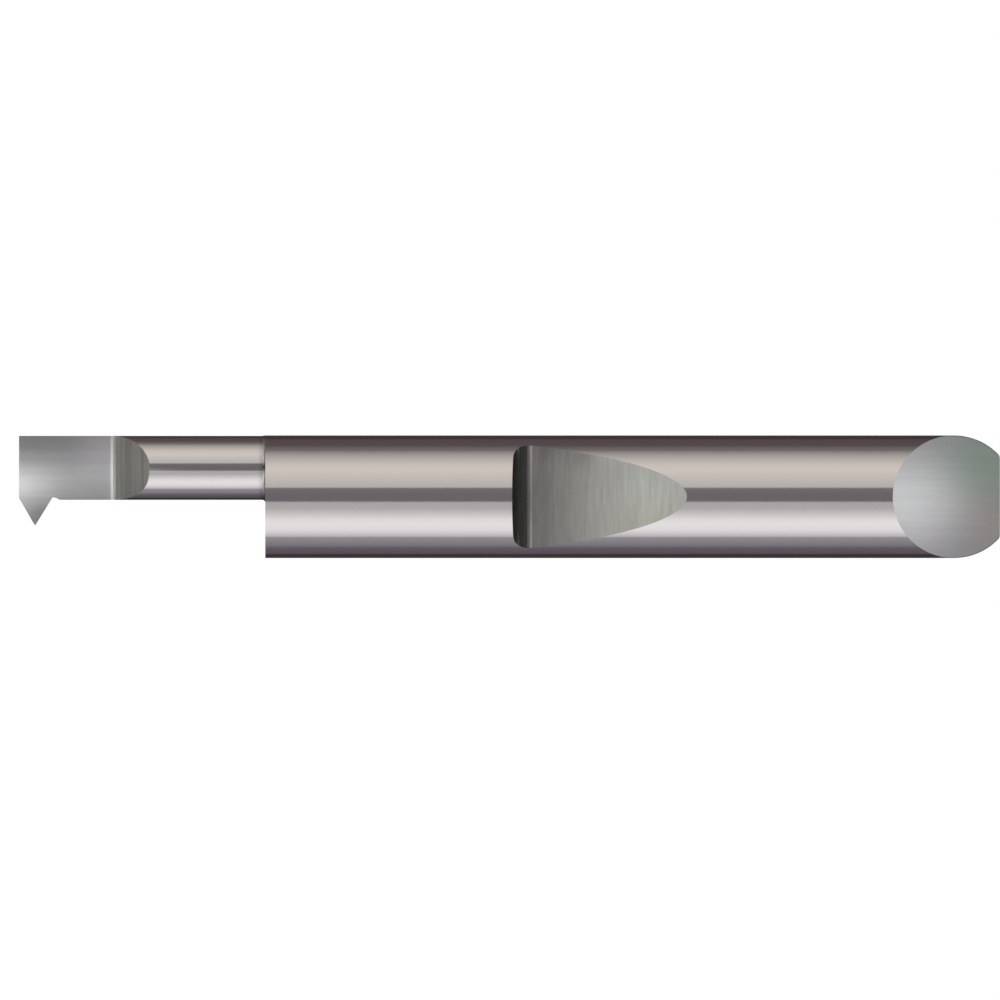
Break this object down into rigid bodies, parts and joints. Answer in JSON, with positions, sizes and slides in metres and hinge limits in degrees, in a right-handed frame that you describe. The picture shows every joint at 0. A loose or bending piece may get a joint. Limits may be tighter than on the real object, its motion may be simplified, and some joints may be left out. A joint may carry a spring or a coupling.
{
  "type": "internal threading tool",
  "caption": "Solid carbide quick-change tool that cuts internal threads with one pointed tooth on a slender neck; clamps by its round shank.",
  "frame": {"origin": "on the shank's axis, in the plane of the shoulder where the neck meets the shank", "axes": "+X along the shank's axis from the shoulder to the bevelled rear end, with the cutting end on -X; +Z square to the rake face, on the side of the notch and the bevel; the tooth points along -Y and the neck is offset along +Y"},
  "size_m": [0.0635, 0.008, 0.008],
  "materials": {
    "ground_carbide": "cylindrically ground and polished round surfaces, with satin ground flats"
  },
  "bodies": {
    "root": {"threading_tool": "ground_carbide"}
  },
  "joints": []
}
